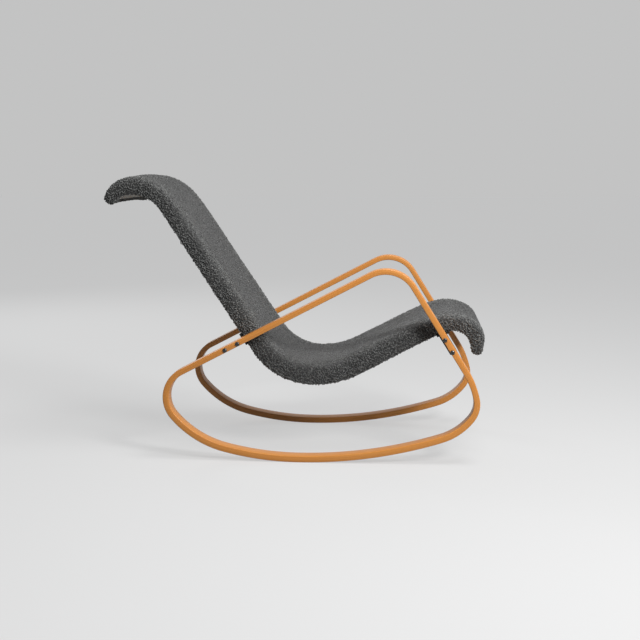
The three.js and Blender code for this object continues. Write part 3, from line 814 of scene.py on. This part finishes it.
def build_cover():
    width = 2 * (cover_high.y - yarn_depth)
    length = seat_length + 2 * (nose_length - yarn_depth)
    pad = flat_slab("boucle_cover", length, width, cover_cell, cover_layers)
    points = points_of(pad)
    along, across, raised = shape_pad(points[:, 0] + seat_length / 2, points[:, 1], points[:, 2])
    move_points(pad, bend_to_seat(along, across, raised))
    swell(pad, raised < seat_under + bottom_edge_radius, along, across)
    open_underside(pad, along, across, raised)
    apply_modifier(pad, "SUBSURF", "soften", levels=1, render_levels=1)
    return pad


# Curls of yarn
# Boucle yarn stands up in small open rings, packed as close as they go. Each is a bent tube, tipped
# at random and rooted in the cloth; they are pressed flat where they are sat on or turned under.
curl_spacing = 0.0052
curl_radius = 0.0027
yarn_radius = 0.0014
curl_segments = 6
yarn_sides = 4
curl_turn = radians(280)
curl_turn_spread = (0.75, 1.15)
curl_radius_spread = (0.7, 1.25)
curl_lift_spread = (-0.3, 0.5)
yarn_spread = (0.75, 1.2)
curl_tips = (radians(18), radians(58))
pressed_tip_share = 0.5
pressed_flat_share = 0.72
pressed_from = 0.004
pressed_over = 0.095
flat_over = 0.006
curl_tint = (0.3, 1.1)
# Painted shade: the darker, narrower tone of the curls on the pad's top, against the wide spread of
# curl_tint on its sides.
pressed_shade_tint = (0.24, 0.34)
# Painted shade: the tint of the cloth in the crevices between the standing curls.
crevice_shade_tint = 0.12
# Partly painted shade: the cloth's tint on the pad's top, set darker along with the curls there.
pressed_cloth_shade_tint = 0.235
lining_margin = 0.005
facing_gain = 2
facing_offset = 0.7
curl_seed = 7
tries_per_curl = 4


def face_values(mesh, name, width):
    values = np.empty(len(mesh.polygons) * width)
    mesh.polygons.foreach_get(name, values)
    return values.reshape(-1, width) if width > 1 else values


def scatter(pad, spacing, draw):
    """Even random places over the cloth, each with its normal."""
    mesh = pad.data
    area = face_values(mesh, "area", 1)
    normal = face_values(mesh, "normal", 3)
    quads = points_of(pad)[corners_of(pad).reshape(-1, 4)]
    tries = int(area.sum() / spacing ** 2 * tries_per_curl)
    chosen = draw.choice(len(area), tries, p=area / area.sum())
    u, v = draw.random((2, tries, 1))
    a, b, c, d = (quads[chosen, i] for i in range(4))
    places = (a * (1 - u) + b * u) * (1 - v) + (d * (1 - u) + c * u) * v
    tree = KDTree(tries)
    for i, place in enumerate(places):
        tree.insert(place, i)
    tree.balance()
    free = np.ones(tries, bool)
    kept = []
    for i, place in enumerate(places):
        if free[i]:
            kept.append(i)
            for _, j, _ in tree.find_range(place, spacing):
                free[j] = False
    return places[kept], normal[chosen[kept]]


def unit(vectors):
    return vectors / np.linalg.norm(vectors, axis=-1, keepdims=True)


def facing_up(places, normals):
    """1 where the pad faces the sitter, 0 on its sides, -1 underneath."""
    _, _, heading = nearest_places(places, seat_line)
    upwards = np.stack([-np.sin(heading), np.zeros(len(places)), np.cos(heading)], 1)
    return (normals * upwards).sum(1)


def sat_on(places, normals):
    """How far each place is pressed by the sitter: 1 on the pad's top, 0 on its sides and underside."""
    facing = np.clip(facing_up(places, normals) * facing_gain - facing_offset, 0, 1)
    inward = cover_high.y - top_edge_radius - pressed_from - np.abs(places[:, 1])
    share = np.clip(inward / pressed_over, 0, 1) * facing
    return share * share * (3 - 2 * share)


def under_lining(places):
    """Which places the lining covers, where the yarn lies flat under it and shows no curls."""
    along, raised, _ = nearest_places(places, seat_line)
    inset = end_flange_width - lining_margin
    covered = (raised < seat_under + bottom_edge_radius) & (along > inset) & (along < seat_length - inset)
    return covered & (np.abs(places[:, 1]) < cover_high.y - flange_width + lining_margin)


def curl_points(places, normals, pressed, draw):
    """The points of every curl: arcs of yarn that rise out of the cloth and go back into it, squashed
    towards it where they are pressed."""
    count = len(places)
    first = unit(np.cross(normals, draw.normal(size=(count, 3))))
    second = np.cross(normals, first)
    tip = (draw.uniform(*curl_tips, count) * (1 - pressed_tip_share * pressed))[:, None]
    axis = unit(normals * np.cos(tip) - second * np.sin(tip))
    second = np.cross(axis, first)
    turn = curl_turn * draw.uniform(*curl_turn_spread, count)[:, None]
    angle = pi / 2 + turn * np.linspace(-0.5, 0.5, curl_segments + 1)
    radius = curl_radius * draw.uniform(*curl_radius_spread, count)[:, None]
    lift = yarn_radius * draw.uniform(*curl_lift_spread, count)[:, None]
    out = first[:, None] * np.cos(angle)[..., None] + second[:, None] * np.sin(angle)[..., None]
    centre = places[:, None] + out * radius[..., None] + normals[:, None] * lift[..., None]
    section = np.arange(yarn_sides) * 2 * pi / yarn_sides
    thick = yarn_radius * draw.uniform(*yarn_spread, count)
    around = (out[:, :, None] * np.cos(section)[:, None]
              + axis[:, None, None] * np.sin(section)[:, None])
    points = centre[:, :, None] + around * thick[:, None, None, None]
    up = normals[:, None, None]
    height = ((points - places[:, None, None]) * up).sum(-1, keepdims=True)
    return points - up * height * (pressed_flat_share * pressed)[:, None, None, None]


def tube_faces(count):
    """The quads of every curl's tube and its two ends."""
    ring = np.arange(yarn_sides)
    after = (ring + 1) % yarn_sides
    sides = [np.stack([k * yarn_sides + ring, k * yarn_sides + after,
                       (k + 1) * yarn_sides + after, (k + 1) * yarn_sides + ring], 1)
             for k in range(curl_segments)]
    ends = [ring[::-1][None], (curl_segments * yarn_sides + ring)[None]]
    one = np.concatenate(sides + ends)
    size = (curl_segments + 1) * yarn_sides
    return (one[None] + size * np.arange(count)[:, None, None]).reshape(-1, 4)


def set_tint(mesh, tint):
    tints = mesh.attributes.new("tint", "FLOAT", "POINT")
    tints.data.foreach_set("value", tint.astype(np.float32))


def curl_mesh(name, points, tint):
    """One mesh of all the curls, each with a tint of its own."""
    mesh = bpy.data.meshes.new(name)
    faces = tube_faces(len(points))
    flat = points.reshape(-1, 3)
    mesh.vertices.add(len(flat))
    mesh.vertices.foreach_set("co", flat.astype(np.float32).ravel())
    mesh.loops.add(faces.size)
    mesh.loops.foreach_set("vertex_index", faces.astype(np.int32).ravel())
    mesh.polygons.add(len(faces))
    mesh.polygons.foreach_set("loop_start", np.arange(0, faces.size, 4, dtype=np.int32))
    mesh.update(calc_edges=True)
    mesh.validate()
    set_tint(mesh, np.repeat(tint, points[0].size // 3))
    piece = bpy.data.objects.new(name, mesh)
    bpy.context.collection.objects.link(piece)
    return piece


def grow_curls(pad):
    draw = np.random.default_rng(curl_seed)
    places, normals = scatter(pad, curl_spacing, draw)
    shown = ~under_lining(places)
    places, normals = places[shown], normals[shown]
    pressed = sat_on(places, normals)
    past_edge = np.clip((cover_high.y - bottom_edge_radius - np.abs(places[:, 1])) / flat_over, 0, 1)
    turned_under = np.clip(-facing_up(places, normals) * facing_gain - facing_offset, 0, 1)
    turned_under = turned_under * past_edge
    points = curl_points(places, normals, np.maximum(pressed, turned_under), draw)
    # The curls' tone goes from the wide random spread of the sides to a darker, narrower one on the top:
    # painted shade.
    low = curl_tint[0] + (pressed_shade_tint[0] - curl_tint[0]) * pressed
    high = curl_tint[1] + (pressed_shade_tint[1] - curl_tint[1]) * pressed
    return curl_mesh("curls", points, draw.uniform(low, high))


def tint_cloth(pad):
    """The cloth under the curls is painted dark as shade in the crevices where they stand open, and on
    top is about as light as the curls there, whose tone is darkened as painted shade.
    """
    normals = np.empty(len(pad.data.vertices) * 3)
    pad.data.vertices.foreach_get("normal", normals)
    pressed = sat_on(points_of(pad), normals.reshape(-1, 3))
    set_tint(pad.data, crevice_shade_tint + (pressed_cloth_shade_tint - crevice_shade_tint) * np.sqrt(pressed))


def boucle_cloth():
    """Looped yarn: painted shade between the curls, lighter on them, rough and a little fuzzy all over.
    """
    material, tree, shader = new_material("grey_boucle")
    place = node(tree, "TexCoord").outputs["Object"]
    tint = node(tree, "Attribute", {"attribute_name": "tint"}).outputs["Fac"]
    fuzz = noise(tree, place, fuzz_scale, detail=3, roughness=0.7)
    strand = noise(tree, place, strand_scale, detail=2, roughness=0.6, distortion=1.5)
    bends = noise(tree, place, yarn_wander, detail=1, roughness=0.5, distortion=0.6)
    ridge = ramp(tree, maths(tree, "SINE", maths(tree, "MULTIPLY", bends, yarn_turns)), -1, 1)
    wear = noise(tree, place, wear_scale, detail=3, roughness=0.6)
    mottle = maths(tree, "ADD", strand, maths(tree, "MULTIPLY", wear, wear_part))
    tone = maths(tree, "MULTIPLY", tint, maths(tree, "ADD", mottle, least_tone))
    # Painted shade: the tone is darkened in the low furrows of the yarn's ridges, where the bump sinks.
    tone = maths(tree, "MULTIPLY", tone, ramp(tree, ridge, 0, 1, furrow_shade_share, 1))
    colour = mix_colour(tree, ramp(tree, tone, 0, full_tone), boucle_dark, boucle_light)
    join(tree, colour, shader.inputs["Base Color"])
    shader.inputs["Roughness"].default_value = boucle_roughness
    shader.inputs["Sheen Weight"].default_value = boucle_sheen
    shader.inputs["Sheen Roughness"].default_value = boucle_sheen_roughness
    height = maths(tree, "ADD", maths(tree, "MULTIPLY", strand, strand_part), fuzz)
    height = maths(tree, "ADD", height, ridge)
    bump(tree, shader, height, **boucle_relief)
    return material


boucle_dark = (0.010, 0.010, 0.010, 1)
boucle_light = (0.190, 0.192, 0.186, 1)
yarn_wander = 120
yarn_turns = 34
# Painted shade: the share of the tone that is left in the yarn's furrows.
furrow_shade_share = 0.65
fuzz_scale = 1300
strand_scale = 420
strand_part = 0.7
wear_scale = 9
wear_part = 0.6
least_tone = 0.2
full_tone = 0.9
boucle_roughness = 0.95
boucle_sheen = 0.25
boucle_sheen_roughness = 0.6
boucle_relief = {"strength": 0.7, "distance": 0.0008}
cover = build_cover()
curls = grow_curls(cover)
tint_cloth(cover)
apply_modifier(cover, "SOLIDIFY", "cloth", thickness=cloth_thickness, offset=-1)
bpy.ops.object.select_all(action="DESELECT")
curls.select_set(True)
cover.select_set(True)
bpy.context.view_layer.objects.active = cover
bpy.ops.object.join()
bpy.ops.object.shade_smooth()
set_slots(cover, boucle_cloth())
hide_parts("seat_cover")
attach(cover, "root")

# Lining
# A thin pale cloth closes the window under the seat. It is pulled flat between the turned-in edges
# of the cover, puckers a little along them, and shows inside the head roll.
lining_cell = 0.006
lining_thickness = 0.0008
lining_thread = 0.0007
lining_pale = (0.80, 0.79, 0.75, 1)
lining_shade = (0.67, 0.66, 0.62, 1)
lining_level = -0.0160
lining_roughness = 0.9
lining_relief = 0.0003
pucker = 0.0004
pucker_length = 0.018
pucker_slant = 0.4
pucker_beat = 37


def build_lining():
    start, end = end_flange_width, seat_length - end_flange_width
    half = cover_high.y - flange_width
    bpy.ops.object.select_all(action="DESELECT")
    counts = (round((end - start) / lining_cell), round(2 * half / lining_cell))
    bpy.ops.mesh.primitive_grid_add(x_subdivisions=counts[0], y_subdivisions=counts[1], size=1)
    cloth = bpy.context.object
    cloth.name = "under_lining"
    points = points_of(cloth)
    along = (start + end) / 2 + points[:, 0] * (end - start)
    across = points[:, 1] * 2 * half
    inward = np.minimum(half - np.abs(across), np.minimum(along - start, end - along))
    near_edge = np.exp(-inward / pucker_length)
    wave = np.sin(2 * pi * (along + pucker_slant * np.abs(across)) / pucker_length)
    wave = wave * np.sin(along * pucker_beat + 1)
    raised = lining_level + pucker * (wave - 1) * near_edge
    mark_flat(cloth, along, across)
    move_points(cloth, bend_to_seat(along, across, raised))
    edit(cloth)
    bpy.ops.mesh.select_all(action="SELECT")
    bpy.ops.mesh.flip_normals()
    leave_edit()
    apply_modifier(cloth, "SOLIDIFY", "thickness", thickness=lining_thickness, offset=0)
    bpy.ops.object.shade_smooth_by_angle(angle=smooth_angle)
    return cloth, (2 * half, end - start)


lining, lining_size = build_lining()
lining_cloth = woven("lining_cloth", lining_thread, lining_shade, lining_pale,
                     lining_roughness, lining_relief)
set_slots(lining, lining_cloth)
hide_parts("seat_lining")
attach(lining, "root")

# Cross members
# Two steel bars under the seat, each with a tab down the inside of either loop, in black powder
# coat with a fine orange-peel skin.
steel_black = (0.006, 0.006, 0.006, 1)
steel_dust = (0.014, 0.014, 0.014, 1)
peel_scale = 1300
dust_scale = 30
dust_patches = (0.4, 0.7)
dulled_patches = (0.3, 0.7)
dulling = 0.12
peel_relief = {"strength": 0.15, "distance": 0.0002}


def coated_steel(name, rough, shine):
    material, tree, shader = new_material(name)
    place = node(tree, "TexCoord").outputs["Object"]
    peel = noise(tree, place, peel_scale, detail=2, roughness=0.5)
    cloud = noise(tree, place, dust_scale, detail=3, roughness=0.6)
    colour = mix_colour(tree, ramp(tree, cloud, *dust_patches), steel_black, steel_dust)
    join(tree, colour, shader.inputs["Base Color"])
    dulled = ramp(tree, cloud, *dulled_patches, rough, rough + dulling)
    join(tree, dulled, shader.inputs["Roughness"])
    shader.inputs["Specular IOR Level"].default_value = shine
    bump(tree, shader, peel, **peel_relief)
    return material


powder_coat = coated_steel("black_powder_coat", rough=0.38, shine=0.3)
for name in ("cross_member_front", "cross_member_rear"):
    set_slots(nodes[name], powder_coat)

# Bolts
# Eight round-head bolts in black steel, with a hexagon socket, hold the tabs to the loops. One is
# modelled, and copied to each place.
bolt_sides = 48
bolt_radius = 0.004
head_radius = 0.007
head_rim = 0.0008
head_height = 0.0044
dome_rings = 6
socket_across = 0.005
socket_depth = 0.0026
bolt_chamfer = 0.0006
socket_lip = 1.12
level_face = 0.9
bolt_smooth_angle = radians(35)


def select_faces(piece, wanted):
    """Selects the faces whose centre passes a test, in edit mode."""
    leave_edit()
    for kind in (piece.data.vertices, piece.data.edges, piece.data.polygons):
        kind.foreach_set("select", np.zeros(len(kind), bool))
    for face in piece.data.polygons:
        face.select = bool(wanted(face.center, face.normal))
    bpy.ops.object.mode_set(mode="EDIT")
    bpy.ops.mesh.select_mode(type="FACE")


def model_bolt(length):
    """A bolt that stands on its head's shoulder at zero, with its shank downwards."""
    bpy.ops.object.select_all(action="DESELECT")
    bpy.ops.mesh.primitive_cylinder_add(vertices=bolt_sides, radius=head_radius, depth=head_rim,
                                        location=(0, 0, head_rim / 2))
    bolt = bpy.context.object
    bpy.ops.object.transform_apply(location=True)
    bpy.ops.object.mode_set(mode="EDIT")
    select_faces(bolt, lambda centre, normal: normal.z < -level_face)
    bpy.ops.mesh.inset(thickness=head_radius - bolt_radius)
    bpy.ops.mesh.extrude_region_move(TRANSFORM_OT_translate={"value": (0, 0, bolt_chamfer - length)})
    bpy.ops.mesh.inset(thickness=bolt_chamfer, depth=bolt_chamfer)
    select_faces(bolt, lambda centre, normal: normal.z > level_face)
    socket_radius = socket_across / 2 / cos(pi / 6)
    end = asin(socket_radius * socket_lip / head_radius)
    dome = head_height - head_rim
    last_radius, last_height = head_radius, 0
    for i in range(1, dome_rings + 1):
        angle = i / dome_rings * (pi / 2 - end)
        radius, height = head_radius * cos(angle), dome * sin(angle)
        bpy.ops.mesh.inset(thickness=last_radius - radius, depth=height - last_height)
        last_radius, last_height = radius, height
    bpy.ops.mesh.inset(thickness=last_radius - socket_radius)
    leave_edit()
    for face in bolt.data.polygons:
        if face.select:
            for i in face.vertices:
                place = bolt.data.vertices[i].co
                angle = atan2(place.y, place.x)
                flat = angle - pi / 3 * round(angle / (pi / 3))
                radius = socket_across / 2 / cos(flat)
                place.x, place.y = radius * cos(angle), radius * sin(angle)
    bpy.ops.object.mode_set(mode="EDIT")
    bpy.ops.mesh.extrude_region_move(TRANSFORM_OT_translate={"value": (0, 0, -socket_depth)})
    leave_edit()
    return bolt


def copy_to(piece, name, turn, place):
    """A copy with its own mesh, turned and moved in its mesh."""
    copied = piece.copy()
    copied.data = piece.data.copy()
    copied.name = name
    bpy.context.collection.objects.link(copied)
    select_only(copied)
    copied.rotation_euler = turn
    copied.location = place
    bpy.ops.object.transform_apply(location=True, rotation=True, scale=True)
    bpy.ops.object.shade_smooth_by_angle(angle=bolt_smooth_angle)
    return copied


bolt_steel = coated_steel("black_bolt_steel", rough=0.14, shine=0.8)
bolt_names = sorted(name for name in nodes if name.startswith("bolt_"))
bolt_low, bolt_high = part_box(bolt_names[0])
pattern_bolt = model_bolt(bolt_high.y - bolt_low.y - head_height)
for name in bolt_names:
    low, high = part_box(name)
    outwards = 1 if low.y > 0 else -1
    shoulder = high.y - head_height if outwards > 0 else low.y + head_height
    place = ((low.x + high.x) / 2, shoulder, (low.z + high.z) / 2)
    bolt = copy_to(pattern_bolt, f"round_head_{name}", (-outwards * pi / 2, 0, 0), place)
    set_slots(bolt, bolt_steel)
    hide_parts(name)
    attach(bolt, "root")
bpy.data.objects.remove(pattern_bolt)

# Nuts, washers and wood screws
# A nut and a washer tighten each bolt behind its tab, and wood screws hold the steel bars up against
# the side rails. All are bright zinc-plated steel, slightly clouded by handling.
zinc = (0.50, 0.51, 0.53, 1)
zinc_dull = (0.36, 0.37, 0.39, 1)
handling_scale = 220
handled_patches = (0.35, 0.7)
zinc_roughness = (0.28, 0.42)
plating_scale = 2500
plating_relief = {"strength": 0.1, "distance": 0.0001}


def plated_steel():
    material, tree, shader = new_material("zinc_plate")
    place = node(tree, "TexCoord").outputs["Object"]
    cloud = noise(tree, place, handling_scale, detail=3, roughness=0.6)
    colour = mix_colour(tree, ramp(tree, cloud, *handled_patches), zinc, zinc_dull)
    join(tree, colour, shader.inputs["Base Color"])
    shader.inputs["Metallic"].default_value = 1
    join(tree, ramp(tree, cloud, *dulled_patches, *zinc_roughness), shader.inputs["Roughness"])
    grit = noise(tree, place, plating_scale, detail=2, roughness=0.5)
    bump(tree, shader, grit, **plating_relief)
    return material


zinc_plate = plated_steel()
for name, piece in nodes.items():
    if name.startswith(("nut_", "washer_", "screw_")):
        set_slots(piece, zinc_plate)

# Floor, backdrop and light
# A plain pale floor that runs into a backdrop of its own colour, with soft lamps high over the chair
# and to its front, and a weak one behind it, as in a product photographer's studio.
floor_grey = (0.24, 0.24, 0.24, 1)
floor_even = 0.52
floor_roughness = 0.9
floor_size = 60
backdrop_grey = (0.545, 0.546, 0.546, 1)
air_grey = (0.9, 0.95, 1.0, 1)
air_strength = 0.11


def seen_directly(tree):
    """1 for what the camera sees, straight or in a gloss or through glass, and 0 for lighting."""
    path = node(tree, "LightPath").outputs
    seen = maths(tree, "ADD", path["Is Camera Ray"], path["Is Glossy Ray"])
    return maths(tree, "ADD", seen, path["Is Transmission Ray"], clamp=True)


bpy.ops.object.select_all(action="DESELECT")
bpy.ops.mesh.primitive_plane_add(size=floor_size, location=(0, 0, 0))
floor = bpy.context.object
floor.name = "studio_floor"
floor_paint, floor_tree, floor_shader = new_material("studio_floor")
floor_shader.inputs["Base Color"].default_value = floor_grey
floor_shader.inputs["Roughness"].default_value = floor_roughness
floor_shader.inputs["Specular IOR Level"].default_value = 0
floor_shader.inputs["Emission Color"].default_value = (1, 1, 1, 1)
even = maths(floor_tree, "MULTIPLY", seen_directly(floor_tree), floor_even)
join(floor_tree, even, floor_shader.inputs["Emission Strength"])
set_slots(floor, floor_paint)

lamps = [
    {"name": "overhead", "place": (1.0, -0.8, 3.2), "size": 1.3, "power": 54},
    {"name": "front", "place": (1.8, -2.2, 2.1), "size": 0.8, "power": 78},
    {"name": "back", "place": (-2.2, 3, 2.4), "size": 1.6, "power": 34},
]
aim = Vector((0, 0, 0.4))
for lamp in lamps:
    bpy.ops.object.light_add(type="AREA", location=lamp["place"])
    light = bpy.context.object
    light.name = lamp["name"]
    light.data.size = lamp["size"]
    light.data.energy = lamp["power"]
    light.rotation_euler = (aim - light.location).to_track_quat("-Z", "Y").to_euler()

studio = bpy.data.worlds.new("studio")
studio.use_nodes = True
air_tree = studio.node_tree
air = air_tree.nodes["Background"]
dim_air = [channel * air_strength for channel in air_grey[:3]]
shown = mix_colour(air_tree, seen_directly(air_tree), (*dim_air, 1), backdrop_grey)
join(air_tree, shown, air.inputs["Color"])
bpy.context.scene.world = studio
bpy.context.scene.view_settings.view_transform = "Standard"
